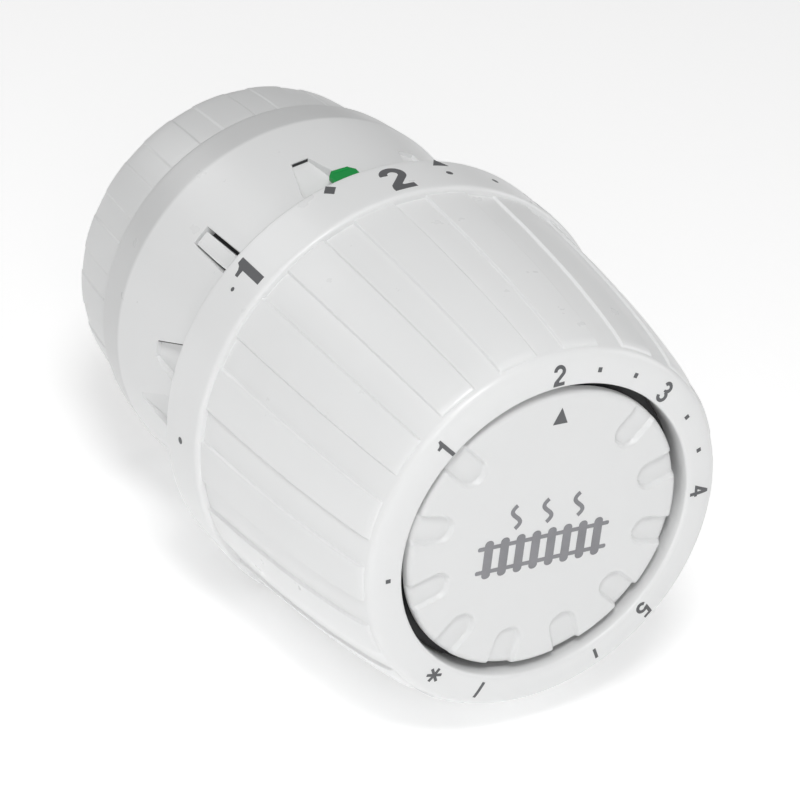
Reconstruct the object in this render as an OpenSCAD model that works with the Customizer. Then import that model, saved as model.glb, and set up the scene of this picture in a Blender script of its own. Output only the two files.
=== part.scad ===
/* [Overall] */
// Largest diameter, over the number ring of the handle
ring_d = 54; // [53.6:0.1:56]
// Length from the rear face of the coupling collar to the front face of the handle
head_l = 73.2; // [72.8:0.1:74]

/* [Coupling] */
// Minor (crest) radius of the M30 x 1.5 coupling thread
thread_minor_r = 14.19; // [13.9:0.01:14.4]
// Axial length of the internal thread
thread_l = 6.8; // [5:0.1:6.8]
// Radius of the passage for the valve gland and its pin
gland_r = 8; // [6:0.1:8.2]
// Rear outer radius of the grip collar
collar_r1 = 21.3; // [20:0.1:22]
// Front outer radius of the grip collar
collar_r2 = 22.2; // [21:0.1:22.4]
// Front end of the grip collar along the axis
collar_s2 = 10; // [9.9:0.1:10.1]

/* [Base] */
// Outer radius of the plain band of the base
band_r = 23.8; // [23:0.1:24.2]
// Rear end of the band along the axis
band_s1 = 10.4; // [10.3:0.1:11]
// Front end of the band along the axis
band_s2 = 16; // [15:0.1:17]
// Outer radius of the base cone where it enters the number ring
cone_r2 = 21.9; // [21.4:0.1:22.1]
// Front end of the base cone along the axis
cone_s2 = 36; // [35:0.1:37]

/* [Handle] */
// Rear end of the number ring along the axis
ring_s1 = 35; // [34.5:0.1:35.5]
// Front end of the number ring along the axis
ring_s2 = 42.6; // [42:0.1:43]
// Number of raised grip ribs round the handle and the collar
rib_n = 18; // [12:1:24]
// Angular width of one raised rib
rib_a = 11.5; // [8:0.5:13]
// Height of a raised rib over the grooves
rib_h = 0.3; // [0.2:0.05:0.6]
// Radius of the recess in the front face
recess_r = 18.05; // [18.05:0.05:18.3]
// Wall thickness of the handle barrel
wall = 1.9; // [1.7:0.1:2]

/* [End disc] */
// Outer radius of the end disc with the pointer
disc_r = 17; // [16.8:0.05:17.2]
// Front face of the end disc along the axis
disc_s = 72.5; // [72:0.1:72.8]
// Number of pitches the finger scallops are spaced on
scallop_n = 12; // [8:1:14]

/* [Drive] */
// Radius of the plain bore that stands for the drive thread of the handle
drive_r = 19.2; // [19:0.1:19.4]
// Outer radius of the thread lugs of the sensor carrier
lug_r = 18.85; // [18.5:0.05:18.9]
// Radius of the push pin
pin_r = 3; // [2.5:0.1:3.2]

/* [Hidden] */
$fn = 120;
ring_r = ring_d / 2;
c_white = [0.93, 0.93, 0.93];
c_pom = [0.86, 0.86, 0.84];
c_brass = [0.78, 0.62, 0.35];
c_steel = [0.62, 0.63, 0.65];
// Outer profile of the handle, groove surface, as [radius, station]
hand_pts = [[26.1, 42.6], [25.9, 45], [25.55, 50], [25.05, 55], [24.45, 60], [23.65, 65], [22.9, 69], [22.4, 71]];
// Angle from the end disc pointer to the middle scallop-free pitch
disc_turn = 3;
// Half angle of the base cone, from its axis
cone_a = atan((band_r - cone_r2) / (cone_s2 - band_s2));
// Station of the seat that meets the valve body
seat_s = 7.2;
// Slope of the floor of a ramp pocket, from the axis
ramp_a = 16.3;
// Angles of the ramp pockets, the wide pocket and the tongue round the base, from the right-hand side
flare_a = [104, 248, 356, 32, 68];
late_a = 176;
wedge_a = 196;
tongue_a = 140;
// Angles of the parked limiter pins
pin_a1 = 98;
pin_a2 = 302;

function cone_r(s) = band_r - (s - band_s2) * (band_r - cone_r2) / (cone_s2 - band_s2);

// The part is drawn along +Z from its rear face, then laid over to face -Y
module lay() { rotate([90, 0, 0]) children(); }
// Tube between two stations
module tube(r1, r2, s1, s2) {
  translate([0, 0, s1]) difference() {
    cylinder(r = r2, h = s2 - s1);
    translate([0, 0, -1]) cylinder(r = r1, h = s2 - s1 + 2);
  }
}
// Ring sector of a rectangle, from angle a over an arc da
module sector(r1, r2, s1, s2, a, da) {
  rotate([0, 0, a]) rotate_extrude(angle = da) translate([r1, s1]) square([r2 - r1, s2 - s1]);
}

// Grip sleeve of the union nut, with raised ribs in line with the handle's
module coupling_collar() {
  color(c_white) lay() difference() {
    union() {
      rotate_extrude() polygon([[17.2, 0], [collar_r1 - 1, 0], [collar_r1 - 0.6, 0.12], [collar_r1 - 0.25, 0.6],
        [collar_r1 + 0.1, 2.2], [collar_r2 - 0.2, collar_s2 - 0.4], [collar_r2 - 0.6, collar_s2], [15.8, collar_s2], [15.8, 9.1], [17.2, 9.1]]);
      for (i = [0:rib_n - 1]) rotate([0, 0, i * 360 / rib_n]) rotate_extrude(angle = rib_a)
        polygon([[collar_r1 - 0.6, 0.5], [collar_r1 - 0.08, 0.7], [collar_r1 + 0.3, 2.2], [collar_r2, collar_s2 - 0.9], [collar_r2 - 0.4, collar_s2 - 0.6]]);
    }
    // keyways for the lugs of the threaded insert
    for (a = [0:60:300]) rotate([0, 0, a]) translate([16.8, -1.25, 0.5]) cube([1.5, 2.5, 8.7]);
  }
}

// Plated brass insert with the coupling thread, which traps the flange of the adapter bush
module threaded_insert() {
  color(c_brass) lay() difference() {
    union() {
      cylinder(r = 17.2, h = 9.1);
      cylinder(r = 15.8, h = 9.9);
      for (a = [0:60:300]) rotate([0, 0, a]) translate([16.9, -1.2, 0.6]) cube([1.3, 2.4, 8.4]);
    }
    translate([0, 0, -1]) cylinder(r = thread_minor_r, h = thread_l + 1);
    // thread relief, in which the bush flange turns freely
    translate([0, 0, thread_l]) cylinder(r = 15, h = 8.8 - thread_l);
    cylinder(r = 13.1, h = 12);
  }
}

// Brass bush that seats on the valve body and carries the head
module adapter_bush() {
  color(c_brass) lay() difference() {
    union() {
      translate([0, 0, seat_s]) cylinder(r = 13.7, h = 1.2);
      translate([0, 0, seat_s]) cylinder(r = 12.7, h = 18.6 - seat_s);
    }
    translate([0, 0, seat_s - 1]) cylinder(r = gland_r, h = 20);
    translate([0, 0, 16.6]) cylinder(r = 8.8, h = 3);
    // circlip groove
    tube(11.9, 14, 16.2, 17.4);
  }
}

// Spring steel circlip that holds the bush in the base
module bush_circlip() {
  color(c_steel) lay() difference() {
    union() {
      tube(11.9, 14.4, 16.3, 17.3);
      for (a = [-14, 14]) rotate([0, 0, a - 90]) translate([13.9, 0, 16.3]) cylinder(r = 1.5, h = 1);
    }
    rotate([0, 0, -90]) linear_extrude(40) polygon([[0, 0], [30, -5], [30, 5]]);
    for (a = [-14, 14]) rotate([0, 0, a - 90]) translate([14.1, 0, 16]) cylinder(r = 0.6, h = 2);
  }
}

// One ramp pocket: its floor sinks towards the front from depth d at station s, cut to a plan outline
module pocket(a, s, d, depth, pts) {
  rotate([0, 0, a]) translate([cone_r(s) - d, 0, s]) rotate([0, -90 - ramp_a, 0]) translate([0, 0, -6])
    linear_extrude(6 + depth) polygon(pts);
}
flare_pts = [[0, -1.1], [6, -2.9], [14, -3.3], [14, 3.3], [6, 2.9], [0, 1.1]];
late_pts = [[0, -1], [5.2, -2.9], [12.7, -3.3], [12.7, 3.3], [5.2, 2.9], [0, 1]];
wedge_pts = [[0, -0.3], [6, -2.9], [15.8, -3.3], [15.8, 3.3], [6, 2.9], [0, 0.3]];

// Stationary housing: plain band, cone with ramp pockets, neck and stop lug
module base_housing() {
  color(c_white) lay() difference() {
    union() {
      rotate_extrude() polygon([[12.7, band_s1], [band_r - 0.95, band_s1], [band_r - 0.62, band_s1 + 0.15], [band_r - 0.5, band_s1 + 0.7],
        [band_r, band_s2 - 0.5], [band_r - 0.02, band_s2 - 0.1], [band_r - 0.12, band_s2 + 0.4],
        [cone_r2, cone_s2], [cone_r2 - 0.6, cone_s2 + 0.3], [19.7, cone_s2 + 0.3], [19.7, 40.6], [17.6, 40.6], [17.6, 36.5],
        [cone_r2 - 4.3, 34.6], [band_r - 4.4, 25], [band_r - 3.4, band_s2 + 3], [band_r - 3.4, 16.2], [12.7, 16.2]]);
      // stop lug that limits the turn of the handle
      sector(19.5, 21.2, 38.7, 40.6, 75, 30);
      // ribs that stiffen the shell from inside
      for (a = [20:60:320]) rotate([0, 0, a]) translate([15.8, -0.6, 15.5]) cube([5, 1.2, 10]);
      // low rails beside each parked limiter pin, as [pin angle, side, rear end]
      for (r = [[pin_a1, -3.1, 31], [pin_a2, -3.1, 31], [pin_a2, 2.3, 31]]) rotate([0, 0, r[0]])
        translate([20.5, r[1], r[2]]) cube([2.15, 0.8, 35.6 - r[2]]);
    }
    for (a = flare_a) pocket(a, 23, 0.45, 0, flare_pts);
    pocket(late_a, 24.2, 0.5, 0, late_pts);
    // wider pocket below them
    pocket(wedge_a, 20.5, 0.06, 0, wedge_pts);
    // sunk tongue with a slot along each side and a fine slot behind it
    pocket(tongue_a, 23, 0.2, 0, [[0, -1.25], [14, -1.8], [14, 1.8], [0, 1.25]]);
    pocket(tongue_a, 23, 0.2, 1.1, [[-0.04, -1.29], [11.5, -1.75], [11.5, -1.2], [0.2, -0.75], [0.2, 1.1], [4, 1.2], [11.5, 0.95], [11.5, 1.75], [-0.04, 1.29]]);
  }
}

// Plastic guide of the push pin, pressed in the front of the bush
module pin_guide() {
  color([0.16, 0.16, 0.17]) lay() difference() {
    union() {
      translate([0, 0, 17]) cylinder(r = 8.8, h = 1.6);
      translate([0, 0, 18.6]) cylinder(r = 10.2, h = 1.2);
      translate([0, 0, 19.8]) cylinder(r = 5.6, h = 5.2);
    }
    cylinder(r = pin_r + 0.05, h = 30);
    for (a = [0:60:300]) rotate([0, 0, a]) translate([7.2, 0, 10]) cylinder(r = 0.8, h = 14);
  }
}

// Push pin, pressed into the bellows cup at its front end
module push_pin() {
  color(c_steel) lay() union() {
    translate([0, 0, 20]) cylinder(r1 = pin_r - 0.5, r2 = pin_r, h = 0.5);
    translate([0, 0, 20.5]) cylinder(r = pin_r, h = 17.5);
    translate([0, 0, 38]) cylinder(r1 = pin_r, r2 = pin_r - 0.5, h = 0.5);
  }
}

// Stationary cage: foot ring, four guide fingers and the front bearing ring
module guide_frame() {
  color([0.13, 0.13, 0.14]) lay() difference() {
    union() {
      tube(15.1, 21.1, 40.6, 42.2);
      for (a = [45:90:315]) sector(15.2, 17.4, 41.4, 67, a - 12, 24);
      tube(14.6, 17.5, 66.4, 69.6);
      tube(16.5, 17.95, 68, 69.6);
    }
    // groove of the brake ring
    tube(17.2, 19, 68.4, 69.2);
    // catch windows for the clips of the end disc
    for (a = [0:90:270]) rotate([0, 0, a]) translate([14, -2.2, 67.3]) cube([1.9, 4.4, 1.4]);
  }
}

// Thin rubber ring in the cage groove that gives the turning resistance
module brake_ring() {
  color([0.08, 0.08, 0.08]) lay() rotate_extrude() translate([17.58, 68.8]) circle(r = 0.37, $fn = 24);
}

// Ring keyed in the handle, whose lug runs against the lug of the base
module stop_ring() {
  color([0.35, 0.36, 0.38]) lay() union() {
    tube(21.6, 22.9, 37, 40.2);
    tube(20.3, 21.8, 37, 38.3);
    sector(20.2, 21.8, 37, 40.2, 265.8, 16.4);
    for (a = [0:60:300]) rotate([0, 0, a]) translate([22.6, -1.4, 37.6]) cube([1.5, 2.8, 2.6]);
  }
}

// Handle: number ring, ribbed barrel, front face with recess, inner splines
module handle_shell() {
  color(c_white) lay() union() {
    rotate_extrude() polygon(concat(
        [[24.9, ring_s1 + 0.2], [25.1, ring_s1], [ring_r - 0.5, ring_s1], [ring_r - 0.12, ring_s1 + 0.15], [ring_r, ring_s1 + 0.5],
         [ring_r, ring_s2 - 0.6], [ring_r - 0.15, ring_s2 - 0.15], [ring_r - 0.45, ring_s2]],
        hand_pts,
        [[22.25, head_l - 1.3], [21.85, head_l - 0.75], [21.2, head_l - 0.3], [20.4, head_l - 0.05], [19.6, head_l],
         [recess_r + 0.45, head_l], [recess_r + 0.12, head_l - 0.12], [recess_r, head_l - 0.45],
         [recess_r, 67.6], [recess_r + 1.3, 67.6], [recess_r + 1.3, 71.2],
         [20.6, 71.2], [22.9 - wall, 69], [23.65 - wall, 65], [24.45 - wall, 60], [25.05 - wall, 55], [25.55 - wall, 50], [25.9 - wall, 45], [24.9, 40.6]]));
    // raised ribs
    for (i = [0:rib_n - 1]) rotate([0, 0, i * 360 / rib_n]) rotate_extrude(angle = rib_a)
      polygon(concat([[25.4, 42]], [for (p = hand_pts) [p[0] + rib_h, p[1]]], [[22.45, head_l - 1.4], [21.4, head_l - 1.2]]));
    // inner splines that carry the drive ring
    for (i = [0:11]) rotate([0, 0, i * 30 + 15]) translate([21.7, -0.8, 44.6]) cube([2.45, 1.6, 15]);
    // seat of the stop ring
    tube(22.9, 25.2, 36.4, 37.6);
    tube(22.9, 25.2, 40.2, 41.4);
    for (a = [30:60:330]) rotate([0, 0, a]) translate([22.9, -1.2, 37]) cube([2.4, 2.4, 4]);
  }
}

// Ring with the drive thread, splined into the handle
module drive_ring() {
  color([0.2, 0.2, 0.22]) lay() difference() {
    union() {
      tube(drive_r, 21.7, 44.6, 64);
      tube(drive_r, 21.2, 64, 65);
    }
    for (i = [0:11]) rotate([0, 0, i * 30]) translate([21.2, -1.5, 47]) cube([2, 3, 14]);
  }
}

// Carrier of the sensor: tube with four threaded lug sectors between the cage fingers
module sensor_carrier() {
  color(c_pom) lay() difference() {
    union() {
      tube(12.5, 14.7, 37.6, 63.6);
      for (a = [0:90:270]) rotate([0, 0, a]) difference() {
        sector(14.5, lug_r, 48, 61.2, -30, 60);
        for (k = [0:5]) tube(lug_r - 0.7, lug_r + 1, 49.4 + k * 2, 50.4 + k * 2);
      }
      // rear lip that backs the can
      tube(10.6, 14.7, 36.6, 38.2);
    }
    // bayonet slots for the cap
    for (a = [0:90:270]) rotate([0, 0, a]) translate([12, -2, 61.4]) cube([1.6, 4, 1.2]);
  }
}

// Cap clipped into the front of the carrier, which backs the overtravel spring
module carrier_cap() {
  color(c_pom) lay() union() {
    difference() {
      tube(4.2, 12.5, 61.3, 63.2);
      for (a = [45:90:315]) rotate([0, 0, a]) translate([8.6, 0, 60]) cylinder(r = 1.6, h = 5);
    }
    for (a = [0:90:270]) rotate([0, 0, a]) translate([12.2, -1.8, 61.5]) cube([1.2, 3.6, 1]);
  }
}

// Strong coil spring between the can and the carrier cap
function coil_pt(t, r, s0, s1, n) = [r * cos(360 * n * t), r * sin(360 * n * t), s0 + (s1 - s0) * t];
module coil(r, w, s0, s1, n, m, k = 8) {
  // k sided wire swept along a helix in m steps
  N = m * n;
  pitch = atan((s1 - s0) / (2 * PI * r * n));
  pts = [for (i = [0:N]) let (t = i / N, a = 360 * n * t, c = coil_pt(t, r, s0, s1, n))
    for (j = [0:k - 1]) let (b = 360 * j / k)
      [c[0] + w * cos(b) * cos(a) + w * sin(b) * sin(pitch) * sin(a),
       c[1] + w * cos(b) * sin(a) - w * sin(b) * sin(pitch) * cos(a),
       c[2] + w * sin(b) * cos(pitch)]];
  faces = concat(
    [[for (j = [k - 1:-1:0]) j]],
    [for (i = [0:N - 1]) for (j = [0:k - 1]) [i * k + j, i * k + (j + 1) % k, (i + 1) * k + (j + 1) % k, (i + 1) * k + j]],
    [[for (j = [0:k - 1]) N * k + j]]);
  polyhedron(points = pts, faces = faces, convexity = 10);
}
module overtravel_spring() {
  color(c_steel) lay() coil(9.7, 0.7, 54.25, 60.5, 3.5, 26);
}

// Drawn aluminium can that holds the filling
module sensor_can() {
  color([0.8, 0.81, 0.82]) lay() rotate_extrude() polygon([[12.15, 38.6], [12.15, 52.3], [11.6, 53], [7.2, 53.4], [1.5, 53.4], [1.5, 52.6], [7, 52.6],
    [10.9, 52.1], [11.45, 51.6], [11.45, 38.6]]);
}

// End plate rolled into the rear rim of the can
module can_end_plate() {
  color(c_steel) lay() rotate_extrude() polygon([[8.2, 38.6], [11.4, 38.6], [11.4, 39.8], [8.7, 39.8], [8.7, 40.4], [8.2, 40.4]]);
}

// Corrugated brass bellows, sealed to the end plate at its rear end
module bellows() {
  color(c_brass) lay() rotate_extrude() polygon(concat(
    [[8.4, 40.4], [8.4, 40.9]],
    [for (i = [0:6]) for (p = [[8.7, 41.2 + i * 1.2], [8.7, 41.6 + i * 1.2], [7.2, 41.8 + i * 1.2], [7.2, 42.2 + i * 1.2]]) p],
    [[7.2, 49.8], [0, 49.8], [0, 49.5]],
    [for (i = [6:-1:0]) for (p = [[6.9, 42.3 + i * 1.2], [6.9, 41.7 + i * 1.2], [8.4, 41.5 + i * 1.2], [8.4, 41.3 + i * 1.2]]) p],
    [[8.1, 41], [8.1, 40.4]]));
}

// Deep plastic cup inside the bellows that carries the push pin
module bellows_cup() {
  color(c_pom) lay() difference() {
    union() {
      translate([0, 0, 33]) cylinder(r = 6.3, h = 16.2);
      translate([0, 0, 32]) cylinder(r = 7.6, h = 1.4);
    }
    translate([0, 0, 31]) cylinder(r = pin_r, h = 7.5);
    for (a = [0:60:300]) rotate([0, 0, a]) translate([4.7, 0, 31]) cylinder(r = 0.8, h = 14);
  }
}

// Pinched copper filling tube on the front of the can
module fill_tube() {
  color([0.72, 0.45, 0.28]) lay() union() {
    difference() {
      translate([0, 0, 52.6]) cylinder(r = 1.5, h = 3.6);
      translate([0, 0, 52]) cylinder(r = 0.8, h = 3.4);
    }
    translate([-1.9, -0.35, 56.1]) cube([3.8, 0.7, 2]);
    tube(1.4, 2.6, 53.4, 53.9);
  }
}

// One finger scallop of the end disc
module scallop(a) {
  rotate([0, 0, a]) translate([0, 0, disc_s - 0.55]) linear_extrude(2) union() {
    translate([13.7, 0]) circle(r = 1.7, $fn = 32);
    translate([13.7, -1.7]) square([5, 3.4]);
  }
}

// Stationary end disc with pointer, scallops and four clips
module end_disc() {
  color(c_white) lay() union() {
    difference() {
      rotate_extrude() polygon([[0, 71.1], [16.2, 71.1], [disc_r - 0.1, 71.2], [disc_r, disc_s - 0.7], [disc_r - 0.2, disc_s - 0.2], [disc_r - 0.7, disc_s], [0, disc_s]]);
      for (i = [0:scallop_n - 1]) if (i < 10) scallop(90 + disc_turn + 45 + i * 360 / scallop_n);
    }
    // clips that snap into the cage
    for (a = [0:90:270]) rotate([0, 0, a]) {
      translate([12.7, -1.9, 66.5]) cube([1.6, 3.8, 4.9]);
      translate([14.2, -1.9, 67.6]) cube([0.9, 3.8, 0.8]);
    }
    // rear rim that rests on the cage
    tube(14.7, 16.1, 69.6, 71.3);
  }
}

// Flat limiter pin, parked on the cone under the ring and drawn out to the rear
module limiter_pin(a) {
  rotate([0, 0, a]) translate([cone_r(28), 0, 28]) rotate([0, -cone_a, 0]) difference() {
    union() {
      // blade, with its rear corners cut off
      translate([0.35, 0, 0]) rotate([0, 90, 0]) linear_extrude(0.65)
        polygon([[0, -1.1], [-0.8, -1.75], [-7.8, -1.75], [-7.8, 1.75], [-0.8, 1.75], [0, 1.1]]);
      // rear lip
      translate([0.35, -1.1, 0]) cube([0.75, 2.2, 0.5]);
    }
    // finger notch behind the lip
    translate([0.8, -0.9, 0.5]) cube([1, 1.8, 0.8]);
  }
}
module limiter_pin_max() { color([0.06, 0.55, 0.2]) lay() limiter_pin(pin_a1); }
module limiter_pin_min() { color([0.8, 0.15, 0.12]) lay() limiter_pin(pin_a2); }

coupling_collar();
threaded_insert();
adapter_bush();
bush_circlip();
base_housing();
pin_guide();
push_pin();
guide_frame();
brake_ring();
stop_ring();
handle_shell();
drive_ring();
sensor_carrier();
carrier_cap();
overtravel_spring();
sensor_can();
can_end_plate();
bellows();
bellows_cup();
fill_tube();
end_disc();
limiter_pin_max();
limiter_pin_min();
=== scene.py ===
import bpy, bmesh, math
from mathutils import Vector, Matrix


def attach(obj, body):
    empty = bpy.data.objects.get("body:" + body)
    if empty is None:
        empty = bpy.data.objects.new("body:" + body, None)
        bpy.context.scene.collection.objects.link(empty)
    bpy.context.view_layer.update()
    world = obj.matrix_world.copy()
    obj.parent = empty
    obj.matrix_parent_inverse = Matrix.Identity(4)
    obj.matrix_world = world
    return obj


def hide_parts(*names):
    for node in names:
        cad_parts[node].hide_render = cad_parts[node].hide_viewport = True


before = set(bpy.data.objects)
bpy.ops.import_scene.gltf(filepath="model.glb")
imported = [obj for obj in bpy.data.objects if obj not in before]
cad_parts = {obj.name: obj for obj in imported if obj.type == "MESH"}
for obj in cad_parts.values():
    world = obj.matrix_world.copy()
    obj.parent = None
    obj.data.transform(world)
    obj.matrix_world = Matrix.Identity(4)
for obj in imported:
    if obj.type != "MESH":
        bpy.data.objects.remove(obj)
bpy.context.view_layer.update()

K = 0.001  # lengths below are in millimetres; the scene is in metres


# ---------------------------------------------------------------- helpers
def pt(r, a, s):
    """Radius, angle from the right-hand side (degrees), station from the rear face."""
    t = math.radians(a)
    return Vector((r * math.cos(t) * K, -s * K, r * math.sin(t) * K))


def smooth(x):
    x = max(0.0, min(1.0, x))
    return x * x * (3 - 2 * x)


def spline(points, xs):
    """Catmull-Rom through [(x, y)], at each of xs."""
    out = []
    n = len(points)
    for x in xs:
        i = 0
        while i < n - 2 and x > points[i + 1][0]:
            i += 1
        x1, y1 = points[i]
        x2, y2 = points[i + 1]
        m1 = (points[i + 1][1] - points[max(i - 1, 0)][1]) / (points[i + 1][0] - points[max(i - 1, 0)][0])
        j = min(i + 2, n - 1)
        m2 = (points[j][1] - points[i][1]) / (points[j][0] - points[i][0])
        h = x2 - x1
        t = (x - x1) / h
        out.append((2 * t ** 3 - 3 * t ** 2 + 1) * y1 + (t ** 3 - 2 * t ** 2 + t) * h * m1
                   + (-2 * t ** 3 + 3 * t ** 2) * y2 + (t ** 3 - t ** 2) * h * m2)
    return out


def arc(cx, cy, r, a0, a1, n):
    return [(cx + r * math.cos(math.radians(a0 + (a1 - a0) * i / n)),
             cy + r * math.sin(math.radians(a0 + (a1 - a0) * i / n))) for i in range(n + 1)]


def finish_piece(name, bm, mats, body, replaces=(), sharp=32.0):
    bmesh.ops.remove_doubles(bm, verts=bm.verts, dist=2e-7)
    bmesh.ops.dissolve_degenerate(bm, edges=bm.edges, dist=2e-7)
    bmesh.ops.recalc_face_normals(bm, faces=bm.faces)
    me = bpy.data.meshes.new(name)
    bm.to_mesh(me)
    bm.free()
    for m in mats if isinstance(mats, (list, tuple)) else [mats]:
        me.materials.append(m)
    me.polygons.foreach_set("use_smooth", [True] * len(me.polygons))
    me.set_sharp_from_angle(angle=math.radians(sharp))
    ob = bpy.data.objects.new(name, me)
    bpy.context.scene.collection.objects.link(ob)
    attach(ob, body)
    if replaces:
        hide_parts(*replaces)
    return ob


def lathe(cols, closed=True):
    """cols: one closed profile loop [(r, a, s), ...] per column, all of one length."""
    bm = bmesh.new()
    grid = [[bm.verts.new(pt(*p)) for p in c] for c in cols]
    n, m = len(grid), len(grid[0])
    for i in range(n if closed else n - 1):
        a, b = grid[i], grid[(i + 1) % n]
        for j in range(m):
            k = (j + 1) % m
            bm.faces.new((a[j], a[k], b[k], b[j]))
    return bm


# ---------------------------------------------------------------- materials
def new_mat(name):
    m = bpy.data.materials.new(name)
    m.use_nodes = True
    nt = m.node_tree
    b = nt.nodes["Principled BSDF"]
    return m, nt, b


def noise(nt, scale, detail=4.0, rough=0.55, coord="Object", stretch=(1, 1, 1)):
    tc = nt.nodes.new("ShaderNodeTexCoord")
    mp = nt.nodes.new("ShaderNodeMapping")
    mp.inputs["Scale"].default_value = stretch
    nt.links.new(tc.outputs[coord], mp.inputs["Vector"])
    n = nt.nodes.new("ShaderNodeTexNoise")
    n.inputs["Scale"].default_value = scale
    n.inputs["Detail"].default_value = detail
    n.inputs["Roughness"].default_value = rough
    nt.links.new(mp.outputs["Vector"], n.inputs["Vector"])
    return n


def ramp(nt, src, c0, c1, p0=0.3, p1=0.7):
    r = nt.nodes.new("ShaderNodeValToRGB")
    r.color_ramp.elements[0].position = p0
    r.color_ramp.elements[0].color = (*c0, 1)
    r.color_ramp.elements[1].position = p1
    r.color_ramp.elements[1].color = (*c1, 1)
    nt.links.new(src, r.inputs["Fac"])
    return r


def span(nt, src, lo, hi):
    r = nt.nodes.new("ShaderNodeMapRange")
    r.inputs["From Min"].default_value = 0.25
    r.inputs["From Max"].default_value = 0.75
    r.inputs["To Min"].default_value = lo
    r.inputs["To Max"].default_value = hi
    nt.links.new(src, r.inputs["Value"])
    return r


def bump(nt, b, src, strength, dist):
    bp = nt.nodes.new("ShaderNodeBump")
    bp.inputs["Strength"].default_value = strength
    bp.inputs["Distance"].default_value = dist
    nt.links.new(src, bp.inputs["Height"])
    nt.links.new(bp.outputs["Normal"], b.inputs["Normal"])
    return bp


def plastic(name, c, rough, vary=0.02, grain=2600.0, strength=0.10, ior=1.49, mould=0.0):
    """Moulded plastic: faint cloudiness of the colour, uneven gloss and a fine mould texture."""
    m, nt, b = new_mat(name)
    big = noise(nt, 55.0, 3.0)
    dark = tuple(x * (1 - vary) for x in c)
    light = tuple(min(1.0, x * (1 + vary)) for x in c)
    nt.links.new(ramp(nt, big.outputs["Fac"], dark, light).outputs["Color"], b.inputs["Base Color"])
    mid = noise(nt, 240.0, 4.0)
    nt.links.new(span(nt, mid.outputs["Fac"], rough - 0.035, rough + 0.045).outputs["Result"], b.inputs["Roughness"])
    fine = noise(nt, grain, 3.0, 0.6)
    bump(nt, b, fine.outputs["Fac"], strength, 0.00002)
    b.inputs["IOR"].default_value = ior
    return m


def metal(name, c, rough, lines=0.0, vary=0.06, strength=0.12, axis_lines=900.0):
    """Plated or drawn metal, with turning or drawing lines round the axis."""
    m, nt, b = new_mat(name)
    big = noise(nt, 120.0, 5.0)
    nt.links.new(ramp(nt, big.outputs["Fac"], tuple(x * (1 - vary) for x in c), c).outputs["Color"], b.inputs["Base Color"])
    b.inputs["Metallic"].default_value = 1.0
    st = noise(nt, axis_lines, 2.0, 0.5, stretch=(0.02, 1.0, 0.02)) if lines else noise(nt, 700.0, 5.0)
    nt.links.new(span(nt, st.outputs["Fac"], max(0.05, rough - 0.08), rough + 0.10).outputs["Result"], b.inputs["Roughness"])
    bump(nt, b, st.outputs["Fac"], strength, 0.00001)
    return m


WHITE = plastic("white_shell", (0.775, 0.78, 0.78), 0.30, vary=0.008, strength=0.05)
WHITE_DISC = plastic("white_disc", (0.75, 0.755, 0.755), 0.36, vary=0.008, grain=3400.0, strength=0.10)
# painted shade: the collar and base use darker copies of the handle's white plastic, standing in for the light falling
# off towards the rear
SHADED_WHITE_COLLAR = plastic("white_collar_painted_shade", (0.68, 0.685, 0.685), 0.34, vary=0.008, strength=0.05)
SHADED_WHITE_BASE = plastic("white_base_painted_shade", (0.75, 0.755, 0.755), 0.30, vary=0.008, strength=0.05)
BLACK_POM = plastic("black_pom", (0.022, 0.022, 0.024), 0.42, vary=0.12, strength=0.20)
GREY_POM = plastic("grey_pom", (0.16, 0.17, 0.18), 0.45, vary=0.06, strength=0.20)
POM = plastic("natural_pom", (0.72, 0.71, 0.67), 0.40, vary=0.03, strength=0.16)
GREEN = plastic("green_plastic", (0.0012, 0.27, 0.05), 0.46, vary=0.08, strength=0.08)
RED = plastic("red_plastic", (0.50, 0.018, 0.012), 0.33, vary=0.08, strength=0.08)
RUBBER = plastic("black_rubber", (0.015, 0.015, 0.016), 0.70, vary=0.2, grain=1500.0, strength=0.35)
PRINT = plastic("scale_print", (0.105, 0.107, 0.112), 0.48, vary=0.12, grain=4200.0, strength=0.25)
NICKEL = metal("nickel_plate", (0.66, 0.64, 0.60), 0.26, lines=1.0, vary=0.10)
SPRING = metal("spring_steel", (0.42, 0.43, 0.45), 0.34)
STEEL = metal("polished_steel", (0.60, 0.61, 0.63), 0.18, lines=1.0)
ALU = metal("drawn_aluminium", (0.76, 0.77, 0.78), 0.32, lines=1.0, strength=0.2)
BRASS = metal("bellows_brass", (0.74, 0.53, 0.24), 0.30, vary=0.15)
COPPER = metal("copper", (0.74, 0.38, 0.24), 0.30, vary=0.2)
FOIL = metal("foil_print", (0.30, 0.30, 0.315), 0.36, vary=0.25)



def painted_rear_shade(m, s0, s1, low):
    """Painted shade: darker colour to the rear of station s0, fading to the full colour at s1."""
    nt = m.node_tree
    b = nt.nodes["Principled BSDF"]
    src = b.inputs["Base Color"].links[0].from_socket
    tc = nt.nodes.new("ShaderNodeTexCoord")
    sep = nt.nodes.new("ShaderNodeSeparateXYZ")
    nt.links.new(tc.outputs["Object"], sep.inputs["Vector"])
    mr = nt.nodes.new("ShaderNodeMapRange")
    mr.inputs["From Min"].default_value = -s0 * K
    mr.inputs["From Max"].default_value = -s1 * K
    mr.inputs["To Min"].default_value = low
    mr.inputs["To Max"].default_value = 1.0
    nt.links.new(sep.outputs["Y"], mr.inputs["Value"])
    mul = nt.nodes.new("ShaderNodeVectorMath")
    mul.operation = "SCALE"
    nt.links.new(src, mul.inputs[0])
    nt.links.new(mr.outputs["Result"], mul.inputs["Scale"])
    nt.links.new(mul.outputs["Vector"], b.inputs["Base Color"])


# painted shade on the band at the rear of the base, down to 0.82 of its colour
painted_rear_shade(SHADED_WHITE_BASE, 15.5, 16.1, 0.82)

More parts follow.
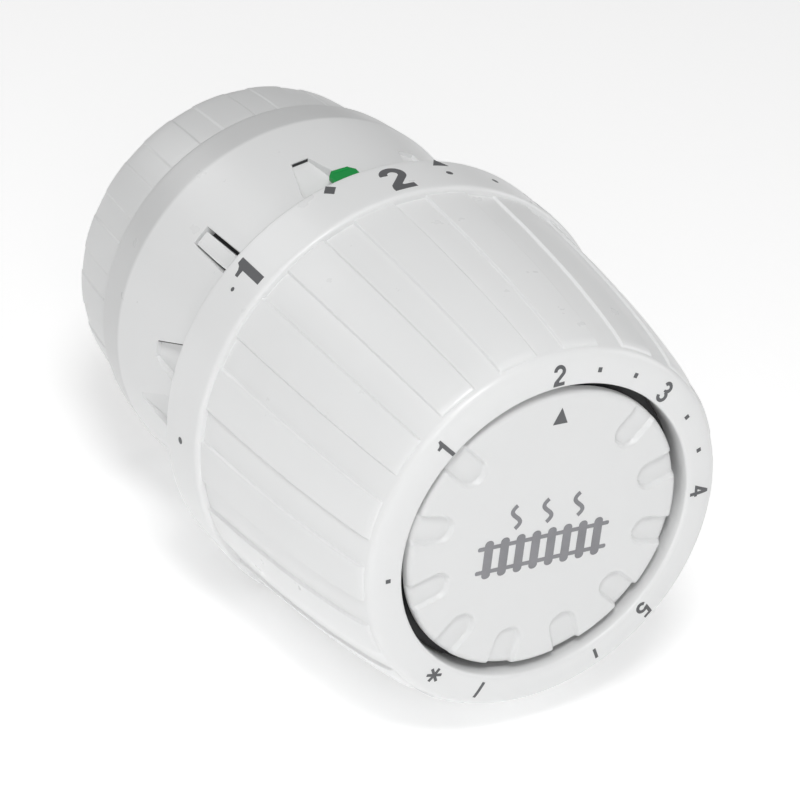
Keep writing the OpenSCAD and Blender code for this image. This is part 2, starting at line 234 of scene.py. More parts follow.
CAD_LOOK = {
    "adapter_bush": NICKEL, "bush_circlip": SPRING, "pin_guide": BLACK_POM, "push_pin": STEEL,
    "guide_frame": BLACK_POM, "brake_ring": RUBBER, "stop_ring": GREY_POM, "drive_ring": BLACK_POM,
    "sensor_carrier": POM, "carrier_cap": POM, "overtravel_spring": SPRING, "sensor_can": ALU,
    "can_end_plate": SPRING, "bellows": BRASS, "bellows_cup": BLACK_POM, "fill_tube": COPPER,
    "coupling_collar": SHADED_WHITE_COLLAR, "threaded_insert": NICKEL, "base_housing": SHADED_WHITE_BASE, "handle_shell": WHITE,
    "end_disc": WHITE_DISC, "limiter_pin_max": GREEN, "limiter_pin_min": RED,
}
for node_name, look in CAD_LOOK.items():
    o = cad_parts[node_name]
    o.data.materials.clear()
    o.data.materials.append(look)
    o.data.polygons.foreach_set("material_index", [0] * len(o.data.polygons))

# ---------------------------------------------------------------- handle
RIB_N, RIB_A, RIB_H = 18, 11.5, 0.32
GROOVE = [(42.6, 26.1), (45, 25.9), (50, 25.55), (55, 25.05), (60, 24.45), (65, 23.65), (69, 22.9), (71, 22.4), (72.2, 22.06)]


def rib_columns(edge, extra_rib, extra_flute, off):
    """Angles of the columns round the part, dense at both edges of each rib, with the rib's height share at each."""
    cols = []
    for k in range(RIB_N):
        a0, a1 = k * 360.0 / RIB_N, k * 360.0 / RIB_N + RIB_A
        for i, o in enumerate(off):
            cols.append((a0 + o, smooth((o + edge) / (2 * edge))))
        for i in range(1, extra_rib + 1):
            cols.append((a0 + off[-1] + (RIB_A - 2 * off[-1]) * i / (extra_rib + 1), 1.0))
        for o in reversed(off):
            cols.append((a1 - o, smooth((o + edge) / (2 * edge))))
        gap = 360.0 / RIB_N - RIB_A
        for i in range(1, extra_flute + 1):
            cols.append((a1 + off[-1] + (gap - 2 * off[-1]) * i / (extra_flute + 1), 0.0))
    return cols


OFF = [-0.80, -0.42, -0.30, -0.18, -0.06, 0.06, 0.18, 0.30, 0.42, 0.80]


def rim_curve():
    """Front rim of the handle: from the groove surface, round to the flat face and over the recess lip."""
    pts = [(22.06, 72.2)]
    pts += [(21.93, 72.45), (21.72, 72.68), (21.42, 72.86), (21.05, 72.99), (20.6, 73.09), (20.1, 73.155), (19.6, 73.185), (19.1, 73.2), (18.62, 73.2)]
    pts += [(18.62 - 0.55 * math.sin(math.radians(t)), 73.2 - 0.40 * (1 - math.cos(math.radians(t)))) for t in (15, 30, 45, 60, 75, 90)]
    return pts


S_BODY = [42.62, 42.8, 43.2, 44] + [44 + i for i in range(1, 27)] + [70.6, 70.9, 71.1, 71.3, 71.45, 71.6, 71.72, 71.82, 71.9, 71.97, 72.03, 72.1]
R_BODY = spline(GROOVE, S_BODY)


def handle_profile(share):
    p = [(24.9, 35.3), (25.1, 35.0), (26.45, 35.0), (26.63, 35.03), (26.79, 35.10), (26.91, 35.22), (26.98, 35.38), (27.0, 35.6),
         (27.0, 36.5), (27.0, 38.0), (27.0, 39.5), (27.0, 41.0), (27.0, 41.9), (26.98, 42.10), (26.92, 42.28), (26.82, 42.43), (26.70, 42.53), (26.60, 42.58)]
    for s, r in zip(S_BODY, R_BODY):
        # ribs rise out of the ring and end in a quarter round under the rim
        h = RIB_H * share
        if s > 71.05:
            h *= math.sqrt(max(0.0, 1 - ((s - 71.05) / 0.98) ** 2))
        p.append((r + h, s))
    p += rim_curve()
    p += [(18.05, 72.2), (18.05, 71.0), (18.05, 67.7), (18.15, 67.6), (19.25, 67.6), (19.35, 67.7), (19.35, 71.2),
          (20.6, 71.2), (21.0, 69), (21.75, 65), (22.55, 60), (23.15, 55), (23.65, 50), (24.0, 45), (24.9, 40.6)]
    return p


bm = lathe([[(r, a, s) for r, s in handle_profile(sh)] for a, sh in rib_columns(0.34, 4, 2, OFF)])
handle = finish_piece("handle_body", bm, WHITE, "handle", ["handle_shell"], sharp=40)

# splines inside the handle that drive the ring, and the seat of the stop ring, as two inner pieces


def ring_solid(cols, prof, warp=None):
    return lathe([[(r, a, s) for r, s in prof] for a in cols])


def block(bm, a, r0, r1, w, s0, s1):
    """Box between two radii and stations, w wide, at angle a."""
    t = math.radians(a)
    ux, uz = math.cos(t), math.sin(t)
    vs = []
    for s in (s0, s1):
        for r, y in ((r0, -w / 2), (r1, -w / 2), (r1, w / 2), (r0, w / 2)):
            vs.append(bm.verts.new(((r * ux - y * uz) * K, -s * K, (r * uz + y * ux) * K)))
    for f in ((0, 1, 2, 3), (7, 6, 5, 4), (0, 4, 5, 1), (1, 5, 6, 2), (2, 6, 7, 3), (3, 7, 4, 0)):
        bm.faces.new([vs[i] for i in f])


bm = bmesh.new()
for i in range(12):
    block(bm, i * 30 + 15, 21.75, 23.4, 1.6, 44.7, 59.0)
finish_piece("handle_splines", bm, WHITE, "handle")
bm = lathe([[(r, i * 3.0, s) for r, s in [(22.9, 36.5), (23.0, 36.4), (25.15, 36.4), (25.15, 37.6), (22.9, 37.6)]] for i in range(120)])
finish_piece("stop_ring_seat", bm, WHITE, "handle")

# ---------------------------------------------------------------- end disc
DISC_S, DISC_R = 72.55, 17.0
SCALLOPS = [138 + 30 * i for i in range(10)]


def scallop_depth(r, a):
    best = 9.0
    for c in SCALLOPS:
        d = (a - c + 180) % 360 - 180
        if abs(d) > 14:
            continue
        x, y = r * math.cos(math.radians(d)), r * math.sin(math.radians(d))
        dist = (abs(y) if x > 13.85 else math.hypot(x - 13.85, y)) - 1.75
        best = min(best, dist)
    return 0.55 * smooth((0.06 - best) / 0.42)


disc_r = [0.0, 1.5, 3, 4.5, 6, 7.5, 9, 10, 10.8, 11.3] + [11.5 + 0.16 * i for i in range(31)]
cols = []
for i in range(720):
    a = i * 0.5
    p = []
    for r in disc_r:
        p.append((r, a, DISC_S - scallop_depth(r, a)))
    base = scallop_depth(16.6, a)
    top = DISC_S - base
    for q, z in [(16.42, 0.015), (16.58, 0.06), (16.73, 0.14), (16.86, 0.26), (16.95, 0.40), (17.0, 0.56)]:
        p.append((q, a, top - z * (1 - 0.35 * base / 0.6)))
    p += [(17.0, a, 71.3), (16.8, a, 71.1), (16.1, a, 71.1), (16.1, a, 69.6), (14.7, a, 69.6), (14.7, a, 71.1), (0.0, a, 71.1)]
    cols.append(p)
bm = lathe(cols)
disc = finish_piece("end_disc_face", bm, WHITE_DISC, "base", ["end_disc"], sharp=40)
bm = bmesh.new()
for a in (0, 90, 180, 270):
    block(bm, a, 12.75, 14.25, 3.8, 66.5, 71.2)
    block(bm, a, 14.2, 15.05, 3.8, 67.62, 68.38)
finish_piece("end_disc_clips", bm, WHITE_DISC, "base")

# ---------------------------------------------------------------- base housing
CONE_A = (23.8 - 21.9) / 20.0


def cone_r(s):
    return 23.8 - (s - 16) * CONE_A


OUTER = [(12.7, 10.6), (12.9, 10.4), (22.85, 10.4), (23.05, 10.44), (23.18, 10.56), (23.26, 10.75), (23.31, 11.1), (23.42, 12.2), (23.54, 13.4), (23.66, 14.6),
         (23.745, 15.4), (23.765, 15.8), (23.74, 16.15), (23.69, 16.6)]
S_CONE = [17.5, 19, 20, 20.38, 20.46, 20.54, 20.8, 21.3, 22, 22.6, 22.9, 22.97, 23.01, 23.08, 23.17, 23.22, 23.6, 24.17, 24.21, 24.5, 25, 26, 26.3, 27, 28, 28.8,
          29.5, 30.2, 31, 32, 33, 33.7, 34.0, 34.06, 34.6, 35.1, 35.6, 35.9]
INNER = [(21.75, 36.2), (21.3, 36.3), (19.7, 36.3), (19.7, 40.6), (17.6, 40.6), (17.6, 36.5), (17.6, 34.6), (19.4, 25), (20.4, 19), (20.4, 16.2), (12.7, 16.2)]

# pockets: kind by angle; each kind starts at a station with a first depth and has a half width along the cone
POCKETS = [(32, "flare"), (68, "flare"), (104, "flare"), (140, "tongue"), (176, "late"), (196, "wedge"), (248, "flare"), (356, "flare")]
START = {"flare": (23.0, 0.45), "late": (24.2, 0.50), "wedge": (20.5, 0.06), "tongue": (23.0, 0.20)}
HALF = {"flare": [(23.0, 1.1), (28.76, 2.9), (36.44, 3.3)], "late": [(24.2, 1.0), (29.2, 2.9), (36.44, 3.3)], "wedge": [(20.5, 0.3), (26.26, 2.9), (35.66, 3.3)], "tongue": [(23.0, 1.25), (36.44, 1.8)]}
SLOT_IN = {"low": [(23.19, 0.50), (34.04, 0.50)], "high": [(23.19, 0.15), (26.84, 0.21), (34.04, 0.75)]}


def along(table, s):
    if s <= table[0][0]:
        return table[0][1]
    for (s0, v0), (s1, v1) in zip(table, table[1:]):
        if s <= s1:
            return v0 + (v1 - v0) * (s - s0) / (s1 - s0)
    return table[-1][1]


def depth_at(kind, zone, s):
    """Depth below the cone: zone is top, lip, floor or slot."""
    s0, d0 = START[kind]
    if zone == "top" or s < s0 - 0.02:
        return 0.0
    full = cone_r(s) - (cone_r(s0) - d0 - (s - s0) * 0.2924)
    if zone == "lip":
        return min(full, 0.05)
    if kind == "tongue" and ((zone == "slot" and s < 34.03) or (zone == "floor" and s < 23.19)):
        full += 1.7 - 0.6 * smooth((s - 29.0) / 5.0)
    return full


def side_columns(kind, side):
    """Columns from the sector's edge in to the pocket: (share out to the edge, mm inside the wall, share of the slot, zone)."""
    cols = [(t, -0.45, None, "top") for t in (0.0, 0.1, 0.25, 0.45, 0.7)]
    cols += [(1.0, -0.45, None, "top"), (1.0, -0.15, None, "top"), (1.0, -0.045, None, "top"), (1.0, 0.0, None, "lip")]
    if kind == "tongue":
        cols += [(1.0, 0.035, None, "slot"), (1.0, None, 0.5, "slot"), (1.0, None, 0.92, "slot"), (1.0, None, 1.0, "floor"), (1.0, None, 1.3, "floor")]
    else:
        cols += [(1.0, 0.045, None, "floor"), (1.0, 0.14, None, "floor")]
    return cols


def base_columns():
    out = []
    n = len(POCKETS)
    for i, (c, kind) in enumerate(POCKETS):
        gap_lo = ((c - POCKETS[i - 1][0]) % 360) / 2.0
        gap_hi = ((POCKETS[(i + 1) % n][0] - c) % 360) / 2.0
        seq = [("low", x) for x in side_columns(kind, "low")]
        seq += [("mid", t) for t in (-0.6, -0.2, 0.2, 0.6)]
        seq += [("high", x) for x in reversed(side_columns(kind, "high"))][:-1]
        for side, x in seq:
            col = []
            for r, s, on_cone in [(r, s, False) for r, s in OUTER] + [(cone_r(s), s, True) for s in S_CONE]:
                h = along(HALF[kind], s)
                if side == "mid":
                    zone, d = "floor", math.degrees((h - (0.75 if kind == "tongue" else 0.2)) * x / r)
                else:
                    t, o, f, zone = x
                    if f is not None:
                        o = along(SLOT_IN[side], s) * f
                    e = math.degrees((h - o) / r)
                    g = gap_lo if side == "low" else gap_hi
                    d = (g + (e - g) * t) * (-1 if side == "low" else 1)
                dep = depth_at(kind, zone, s) if on_cone else 0.0
                rr = r
                if dep > 0:
                    rr = r - dep if zone == "lip" else min(r, (r - dep) / math.cos(math.radians(d)))
                col.append((rr, c + d, s))
            a = col[-1][1]
            out.append(col + [(r, a, s) for r, s in INNER])
    return out


bm = lathe(base_columns())
base = finish_piece("base_shell", bm, SHADED_WHITE_BASE, "base", ["base_housing"], sharp=34)

bm = bmesh.new()
for a in (20, 80, 140, 200, 260, 320):
    block(bm, a, 15.8, 20.2, 1.2, 15.9, 25.2)
for pin, y0, s0 in ((98, -3.1, 31.0), (302, -3.1, 31.0), (302, 2.3, 31.0)):
    r = 22.6
    block(bm, pin + math.degrees((y0 + 0.4) / r), 21.0, 22.62, 0.8, s0, 35.55)
finish_piece("base_ribs", bm, SHADED_WHITE_BASE, "base")


# painted shade: thin black strips standing in for the shadow in the slots round the tongue, and along one edge of the
# first pockets
def strip(bm, c, lo, hi, stations, radius, thick=0.06):
    """Thin band between two tangential offsets (mm from angle c), following the stations."""
    rows = []
    for s in stations:
        r = radius(s)
        rows.append([bm.verts.new(pt(q, c + math.degrees(o / r), s)) for q, o in ((r, lo(s)), (r, hi(s)), (r - thick, hi(s)), (r - thick, lo(s)))])
    for a, b in zip(rows, rows[1:]):
        for i in range(4):
            bm.faces.new((a[i], a[(i + 1) % 4], b[(i + 1) % 4], b[i]))
    bm.faces.new(rows[0][::-1])
    bm.faces.new(rows[-1])


def slot_floor(s):
    return cone_r(s) - depth_at("tongue", "slot", s) + 0.55


SLOT_S = [23.08 + 0.6 * i for i in range(18)]
bm = bmesh.new()
strip(bm, 140, lambda s: -along(HALF["tongue"], s) + 0.02, lambda s: -along(HALF["tongue"], s) + 0.49, SLOT_S, slot_floor)
strip(bm, 140, lambda s: along(HALF["tongue"], s) - along(SLOT_IN["high"], s) + 0.01, lambda s: along(HALF["tongue"], s) - 0.02, SLOT_S, slot_floor)
strip(bm, 140, lambda s: -0.80, lambda s: 1.12, [23.02, 23.17], slot_floor)
strip(bm, 104, lambda s: -1.02, lambda s: 1.02, [23.0, 23.07], lambda s: cone_r(23.0) - 0.10, 0.34)
strip(bm, 176, lambda s: -along(HALF["late"], s) - 0.10, lambda s: -along(HALF["late"], s) + 0.02, [24.3 + 0.6 * i for i in range(12)], lambda s: cone_r(s) + 0.004, 0.30)
finish_piece("base_painted_shade_strips", bm, BLACK_POM, "base")
bm = lathe([[(19.5, 75 + i, 38.7), (21.2, 75 + i, 38.7), (21.2, 75 + i, 40.6), (19.5, 75 + i, 40.6)] for i in range(31)], closed=False)
bmesh.ops.holes_fill(bm, edges=bm.edges)
finish_piece("stop_lug", bm, WHITE, "base")

# ---------------------------------------------------------------- coupling collar
COLLAR_OUT = [(0.0, 20.55), (0.10, 20.85), (0.28, 21.05), (0.6, 21.2), (1.2, 21.36), (2.2, 21.5), (4, 21.72), (6, 21.9), (8, 22.0), (9.2, 22.05)]

COLLAR_RIB = 0.13


def collar_profile(share):
    p = [(17.2, 0.25), (17.4, 0.0), (20.3, 0.0)]
    for s, r in COLLAR_OUT:
        h = COLLAR_RIB * share
        if s < 0.9:
            h *= math.sqrt(max(0.0, 1 - ((0.9 - s) / 0.9) ** 2))
        p.append((r + h, s))
    for s in (9.32, 9.42, 9.52, 9.58, 9.62):
        h = COLLAR_RIB * share * math.sqrt(max(0.0, 1 - ((s - 9.2) / 0.42) ** 2))
        p.append((22.05 + h - (s - 9.2) * 0.15, s))
    p += [(21.9, 9.75), (21.75, 9.88), (21.5, 9.97), (21.2, 10.0), (15.9, 10.0), (15.8, 9.9), (15.8, 9.1), (17.2, 9.1)]
    return p


bm = lathe([[(r, a, s) for r, s in collar_profile(sh)] for a, sh in rib_columns(0.40, 4, 2, [-0.9, -0.5, -0.35, -0.2, 0.0, 0.2, 0.35, 0.5, 0.9])])
finish_piece("collar_sleeve", bm, SHADED_WHITE_COLLAR, "collar", ["coupling_collar"], sharp=40)

# ---------------------------------------------------------------- threaded insert, with its real thread
PITCH = 1.5


def thread_r(a, s):
    """Internal thread: crests at 14.19, roots at 15.0, chamfered at the mouth."""
    ph = ((s / PITCH + a / 360.0) % 1.0)
    d = abs(ph - 0.5) * 2  # 1 at crest, 0 at root
    t = max(0.0, min(1.0, (d - 0.14) / 0.66))
    r = 15.0 - 0.81 * t
    mouth = 15.3 - s * 1.0
    return max(r, mouth) if s < 1.2 else r


N_A = 180
S_THREAD = [i * 0.085 for i in range(1, 80)]
cols = []
for i in range(N_A):
    a = i * 360.0 / N_A
    p = [(15.35, a, 0.02), (15.6, a, 0.0), (17.0, a, 0.0), (17.2, a, 0.2), (17.2, a, 9.1), (15.8, a, 9.1), (15.8, a, 9.8), (15.7, a, 9.9), (13.2, a, 9.9), (13.1, a, 9.8),
         (13.1, a, 8.8), (15.0, a, 8.8), (15.0, a, 6.8)]
    for s in reversed(S_THREAD):
        p.append((thread_r(a, s), a, s))
    cols.append(p)
bm = lathe(cols)
finish_piece("coupling_thread", bm, NICKEL, "collar", ["threaded_insert"], sharp=50)
bm = bmesh.new()
for a in range(0, 360, 60):
    block(bm, a, 17.0, 18.15, 2.4, 0.6, 9.0)
finish_piece("insert_keys", bm, NICKEL, "collar")


# ---------------------------------------------------------------- limiter pins
def limiter(name, a, mat, node, body):
    ca = math.atan(CONE_A)
    bm = bmesh.new()

    def slab(outline, x0, x1, bev):
        lo = [bm.verts.new((x0, y, z)) for y, z in outline]
        hi = [bm.verts.new((x1, y, z)) for y, z in outline]
        k = len(outline)
        fs = [bm.faces.new(lo[::-1]), bm.faces.new(hi)]
        fs += [bm.faces.new((lo[i], lo[(i + 1) % k], hi[(i + 1) % k], hi[i])) for i in range(k)]
        es = list({e for f in fs for e in f.edges})
        bmesh.ops.bevel(bm, geom=es, offset=bev, segments=3, profile=0.5, affect="EDGES")

    slab([(-1.1, 0), (1.1, 0), (1.75, 0.8), (1.75, 7.8), (-1.75, 7.8), (-1.75, 0.8)], 0.36, 0.99, 0.09)
    slab([(-1.08, 0.01), (1.08, 0.01), (1.08, 0.5), (-1.08, 0.5)], 0.40, 1.04, 0.05)
    # turn into place: x is out from the cone, z along it
    t = math.radians(a)
    for v in bm.verts:
        x, y, z = v.co
        r = cone_r(28) + x * math.cos(ca) - z * math.sin(ca)
        s = 28 + x * math.sin(ca) + z * math.cos(ca)
        v.co = Vector(((r * math.cos(t) - y * math.sin(t)) * K, -s * K, (r * math.sin(t) + y * math.cos(t)) * K))
    return finish_piece(name, bm, mat, body, [node], sharp=45)


limiter("max_limit_pin", 98, GREEN, "limiter_pin_max", "max_pin")
limiter("min_limit_pin", 302, RED, "limiter_pin_min", "min_pin")


# ---------------------------------------------------------------- printed marks
def stroke(path, w):
    """Outline of a line of width w along path, mitred."""
    n = len(path)
    left, right = [], []
    for i, (x, y) in enumerate(path):
        def unit(p, q):
            dx, dy = q[0] - p[0], q[1] - p[1]
            l = math.hypot(dx, dy) or 1e-9
            return dx / l, dy / l
        if i == 0:
            dx, dy = unit(path[0], path[1]); nx, ny, k = -dy, dx, 1.0
        elif i == n - 1:
            dx, dy = unit(path[-2], path[-1]); nx, ny, k = -dy, dx, 1.0
        else:
            d1, d2 = unit(path[i - 1], path[i]), unit(path[i], path[i + 1])
            nx, ny = -(d1[1] + d2[1]), d1[0] + d2[0]
            l = math.hypot(nx, ny) or 1e-9
            nx, ny = nx / l, ny / l
            k = 1.0 / max(0.35, nx * -d1[1] + ny * d1[0])
        left.append((x + nx * k * w / 2, y + ny * k * w / 2))
        right.append((x - nx * k * w / 2, y - ny * k * w / 2))
    return left + right[::-1]


def glyph(ch, w=0.165):
    """Outlines of a numeral in a box 1 high, centred on its middle."""
    if ch == "1":
        g = [[(0.27, 0), (0.27 + w * 1.05, 0), (0.27 + w * 1.05, 1.0), (0.33, 1.0), (0.29, 0.90), (0.21, 0.835), (0.08, 0.81), (0.08, 0.70), (0.27, 0.70)]]
    elif ch == "2":
        g = [stroke(arc(0.295, 0.70, 0.215, 178, -36, 22) + [(0.30, 0.39), (0.115, 0.20), (0.085, w / 2), (0.55, w / 2)], w)]
    elif ch == "3":
        g = [stroke(arc(0.275, 0.735, 0.185, 165, -82, 20), w), stroke(arc(0.28, 0.30, 0.215, 82, -168, 22), w), [(0.2, 0.485), (0.33, 0.485), (0.33, 0.60), (0.2, 0.60)]]
    elif ch == "4":
        g = [stroke([(0.40, 0.90), (0.10, 0.315), (0.60, 0.315)], w * 0.92), [(0.36, 0), (0.36 + w, 0), (0.36 + w, 1.0), (0.36, 1.0)]]
    elif ch == "5":
        g = [stroke([(0.53, 0.92), (0.165, 0.92), (0.105, 0.485)] + arc(0.285, 0.315, 0.215, 122, -160, 22), w * 0.97)]
    elif ch == "*":
        g = [stroke([(0.30 - 0.36 * math.cos(t), 0.5 - 0.36 * math.sin(t)), (0.30 + 0.36 * math.cos(t), 0.5 + 0.36 * math.sin(t))], w * 0.8)
             for t in (math.pi / 2, math.pi / 6, -math.pi / 6)]
    return [[(x - 0.30, y - 0.5) for x, y in o] for o in g]


def disc_outline(r, n=20):
    return [(r * math.cos(2 * math.pi * i / n), r * math.sin(2 * math.pi * i / n)) for i in range(n)]


def add_mark(out, outline, scale, place, lift=0.03, depth=0.05, cell=0.35, clip=None):
    """A thin closed patch: outline filled, cut into cells and wrapped by place(u, v, h)."""
    bm = bmesh.new()
    vs = [bm.verts.new((x * scale, y * scale, 0)) for x, y in outline]
    bm.faces.new(vs)
    lo = [min(v.co[i] for v in bm.verts) for i in (0, 1)]
    hi = [max(v.co[i] for v in bm.verts) for i in (0, 1)]
    for ax in (0, 1):
        x = lo[ax] + cell
        while x < hi[ax]:
            no = (1, 0, 0) if ax == 0 else (0, 1, 0)
            co = (x, 0, 0) if ax == 0 else (0, x, 0)
            bmesh.ops.bisect_plane(bm, geom=bm.verts[:] + bm.edges[:] + bm.faces[:], plane_co=co, plane_no=no, dist=1e-6)
            x += cell
    if clip is not None:
        bmesh.ops.bisect_plane(bm, geom=bm.verts[:] + bm.edges[:] + bm.faces[:], plane_co=(clip * scale, 0, 0), plane_no=(-1, 0, 0), clear_outer=True, dist=1e-6)
    bmesh.ops.triangulate(bm, faces=bm.faces[:])
    bm.verts.index_update()
    top = [out.verts.new(place(v.co.x, v.co.y, lift)) for v in bm.verts]
    bot = [out.verts.new(place(v.co.x, v.co.y, -depth)) for v in bm.verts]
    for f in bm.faces:
        i = [v.index for v in f.verts]
        out.faces.new([top[j] for j in i])
        out.faces.new([bot[j] for j in reversed(i)])
    for e in bm.edges:
        if len(e.link_faces) == 1:
            a, b = e.verts[0].index, e.verts[1].index
            out.faces.new([top[a], top[b], bot[b], bot[a]])
    bm.free()


RIM = [(18.62, 73.2), (19.1, 73.2), (19.6, 73.185), (20.1, 73.155), (20.6, 73.09), (21.05, 72.99), (21.42, 72.86), (21.72, 72.68)]


def rim_s(r):
    for (r0, s0), (r1, s1) in zip(RIM, RIM[1:]):
        if r <= r1:
            return s0 + (s1 - s0) * max(0.0, (r - r0) / (r1 - r0))
    return RIM[-1][1]


def on_face(r0, a0, turn=0.0):
    """Front face: v points out along the radius, u clockwise as seen from the front."""
    ct, stn = math.cos(math.radians(turn)), math.sin(math.radians(turn))

    def place(u, v, h):
        u, v = u * ct - v * stn, u * stn + v * ct
        x, y = r0 + v, -u
        r, a = math.hypot(x, y), a0 + math.degrees(math.atan2(y, x))
        return pt(r, a, rim_s(r) + h)
    return place


def on_ring(a0, s0, turn=0.0):
    """Number ring: v points to the rear, u clockwise as seen from the front."""
    ct, stn = math.cos(math.radians(turn)), math.sin(math.radians(turn))

    def place(u, v, h):
        u, v = u * ct - v * stn, u * stn + v * ct
        return pt(27.0 + h, a0 - math.degrees(u / 27.0), s0 - v)
    return place


def on_disc(x0, z0):
    def place(u, v, h):
        return Vector(((x0 + u) * K, -(DISC_S + h) * K, (z0 + v) * K))
    return place


marks = bmesh.new()
SCALE = [("2", 94.0), ("3", 49.7), ("4", 4.0), ("5", -42.0), ("*", 230.9), ("1", 137.5)]
R_MARK = 19.72
for ch, a in SCALE:
    size = {"2": 2.45, "3": 2.5, "4": 2.4, "5": 2.55, "1": 2.65, "*": 2.6}[ch]
    for i, o in enumerate(glyph(ch)):
        add_mark(marks, o, size, on_face(R_MARK, a), lift=0.028 + 0.004 * i, clip=-0.30 if ch == "2" else None)
for a in (79.2, 64.5, 34.7, 19.7, 184.8):
    add_mark(marks, [(-0.24, -0.28), (0.24, -0.28), (0.24, 0.28), (-0.24, 0.28)], 1.0, on_face(R_MARK + 0.1, a))
add_mark(marks, [(-0.19, -0.75), (0.19, -0.75), (0.19, 0.75), (-0.19, 0.75)], 1.0, on_face(R_MARK + 0.05, -63.3))
add_mark(marks, [(-0.19, -1.05), (0.19, -1.05), (0.19, 1.05), (-0.19, 1.05)], 1.0, on_face(R_MARK + 0.1, 251.6, turn=-10))

for ch, a in [("2", 94.6), ("1", 138.3), ("3", 49.7), ("4", 4.0), ("5", -42.0), ("*", 230.9)]:
    for i, o in enumerate(glyph(ch, 0.19 if ch != "1" else 0.215)):
        add_mark(marks, o, 5.0 if ch != "*" else 4.4, on_ring(a, 38.75), lift=0.022 + 0.004 * i, cell=0.6, clip=-0.31 if ch == "2" else None)
for a in (110.0, 35.0):
    add_mark(marks, [(-0.8, 0), (0, -1.0), (0.8, 0), (0, 1.0)], 1.0, on_ring(a, 36.3), lift=0.022, cell=0.5)
for a in (79.9,):
    add_mark(marks, [(-1.05, -0.75), (1.05, -0.75), (0.0, 0.85)], 1.0, on_ring(a, 36.0), lift=0.022, cell=0.5)
for a in (80.0, 66.0, 34.7, 19.7, 184.0):
    add_mark(marks, disc_outline(0.42), 1.0, on_ring(a, 38.75), lift=0.022)
add_mark(marks, disc_outline(0.27), 1.0, on_ring(143.4, 38.35), lift=0.022)
finish_piece("scale_marks", marks, PRINT, "handle", sharp=60)

pointer = bmesh.new()
add_mark(pointer, [(-0.92, -0.98), (0.92, -0.98), (0.0, 0.98)], 1.0, on_disc(0.0, 14.25), lift=0.028)
finish_piece("pointer_mark", pointer, PRINT, "base", sharp=60)

# generic sign of a radiator giving off heat, printed in silver
icon = bmesh.new()


def rounded(x0, y0, x1, y1, r, n=6):
    return arc(x1 - r, y0 + r, r, -90, 0, n) + arc(x1 - r, y1 - r, r, 0, 90, n) + arc(x0 + r, y1 - r, r, 90, 180, n) + arc(x0 + r, y0 + r, r, 180, 270, n)


for i in range(8):
    x = -7.0 + i * 2.0
    add_mark(icon, rounded(x - 0.55, -4.6, x + 0.55, 0.2, 0.5), 1.0, on_disc(0.0, 0.0), lift=0.030, cell=3)
add_mark(icon, rounded(-8.4, -0.95, 8.4, -0.45, 0.2), 1.0, on_disc(0.0, 0.0), lift=0.026, cell=4)
add_mark(icon, rounded(-8.4, -3.95, 8.4, -3.45, 0.2), 1.0, on_disc(0.0, 0.0), lift=0.026, cell=4)
for x0 in (-4.0, 0.0, 4.0):
    add_mark(icon, stroke([(x0 + 0.55 * math.sin(t * math.pi / 9.0), 1.1 + 2.9 * t / 18.0) for t in range(19)], 0.5), 1.0, on_disc(0.0, 0.0), lift=0.028, cell=3)
finish_piece("heat_sign", icon, FOIL, "base", sharp=60)

# ---------------------------------------------------------------- camera
sc = bpy.context.scene
cam = bpy.data.objects.new("camera", bpy.data.cameras.new("camera"))
sc.collection.objects.link(cam)
sc.camera = cam
cam.data.lens = 146.67
cam.data.sensor_width = 36.0
cam.data.sensor_fit = "HORIZONTAL"
cam.data.clip_start, cam.data.clip_end = 0.01, 20
right, up, back = Vector((0.86195, -0.49689, 0.10068)), Vector((0.16510, 0.46286, 0.87092)), Vector((-0.47935, -0.73407, 0.48100))
cam.matrix_world = Matrix((
    (right.x, up.x, back.x, -0.17970),
    (right.y, up.y, back.y, -0.31637),
    (right.z, up.z, back.z, 0.17982),
    (0, 0, 0, 1)))

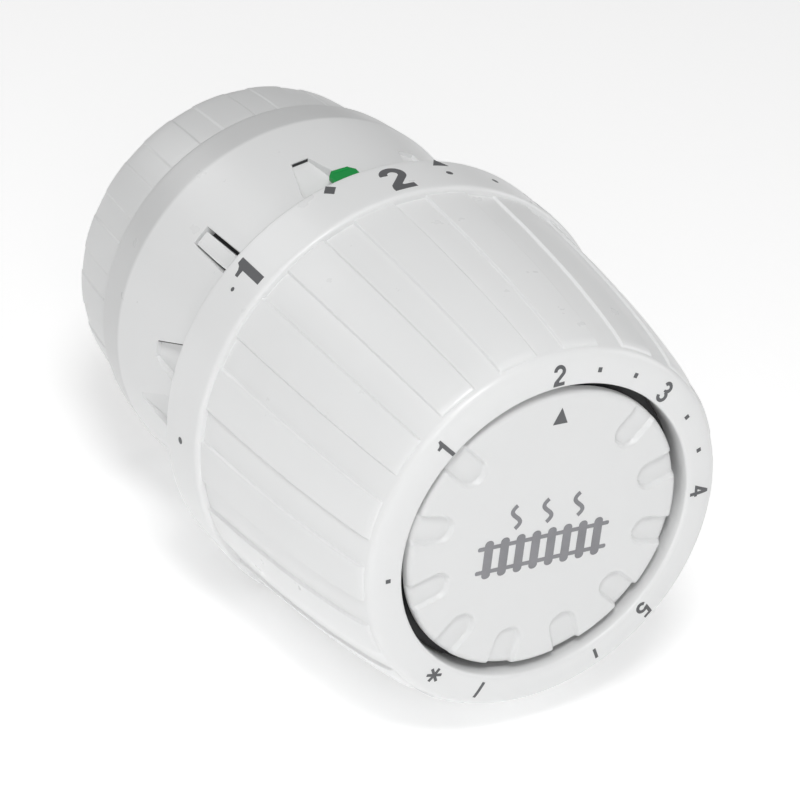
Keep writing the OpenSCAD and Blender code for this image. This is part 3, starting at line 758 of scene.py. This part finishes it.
# ---------------------------------------------------------------- floor and light
bm = bmesh.new()
vs = [bm.verts.new(c) for c in ((-3, -3, -0.0271), (3, -3, -0.0271), (3, 3, -0.0271), (-3, 3, -0.0271))]
bm.faces.new(vs)
me = bpy.data.meshes.new("floor")
bm.to_mesh(me)
bm.free()
floor = bpy.data.objects.new("floor", me)
sc.collection.objects.link(floor)
fm, nt, b = new_mat("floor")
b.inputs["Base Color"].default_value = (0.95, 0.95, 0.95, 1)
b.inputs["Roughness"].default_value = 0.9
b.inputs["Specular IOR Level"].default_value = 0.1
b.inputs["Emission Color"].default_value = (1, 1, 1, 1)
me.materials.append(fm)
FLOOR_GLOW = b.inputs["Emission Strength"]

STUDIO = {"world": 0.21, "camera_side": 0.2, "top": 1.2, "left": 0.0, "right": 1.9, "front": 0.0, "key": 0.0, "rear": 1.2,
          "flash": 0.2, "main": 1.05, "side": 0.08, "back_left": 0.2, "glow": 0.28}
FLOOR_GLOW.default_value = STUDIO["glow"]
world = bpy.data.worlds.new("studio")
world.use_nodes = True
world.node_tree.nodes["Background"].inputs["Color"].default_value = (1, 1, 1, 1)
world.node_tree.nodes["Background"].inputs["Strength"].default_value = STUDIO["world"]
sc.world = world


def area(name, loc, size):
    if STUDIO[name] <= 0:
        return
    d = bpy.data.lights.new(name, "AREA")
    d.shape = "DISK"
    d.size = size
    d.energy = STUDIO[name]
    o = bpy.data.objects.new(name, d)
    sc.collection.objects.link(o)
    o.location = loc
    o.rotation_mode = "QUATERNION"
    o.rotation_quaternion = (Vector((0, -0.04, 0)) - Vector(loc)).to_track_quat("-Z", "Y")


area("camera_side", (-0.45, -0.75, 0.46), 0.5)
area("top", (0.0, -0.05, 1.0), 0.6)
area("left", (-1.0, -0.1, 0.25), 0.6)
area("right", (0.95, -0.3, 0.35), 0.6)
area("front", (0.15, -1.0, 0.15), 0.6)
area("key", (-0.33, -0.45, 0.50), 0.22)
area("rear", (-0.35, 0.85, 0.6), 0.5)
area("flash", (-0.20, -0.39, 0.21), 0.12)
area("main", (-0.16, -0.30, 0.42), 0.14)
area("side", (-0.38, -0.34, 0.22), 0.14)
area("back_left", (-0.35, -0.12, 0.42), 0.14)
sc.view_settings.view_transform = "Standard"
sc.view_settings.look = "None"
sc.view_settings.exposure = 0.0
sc.view_settings.gamma = 1.0
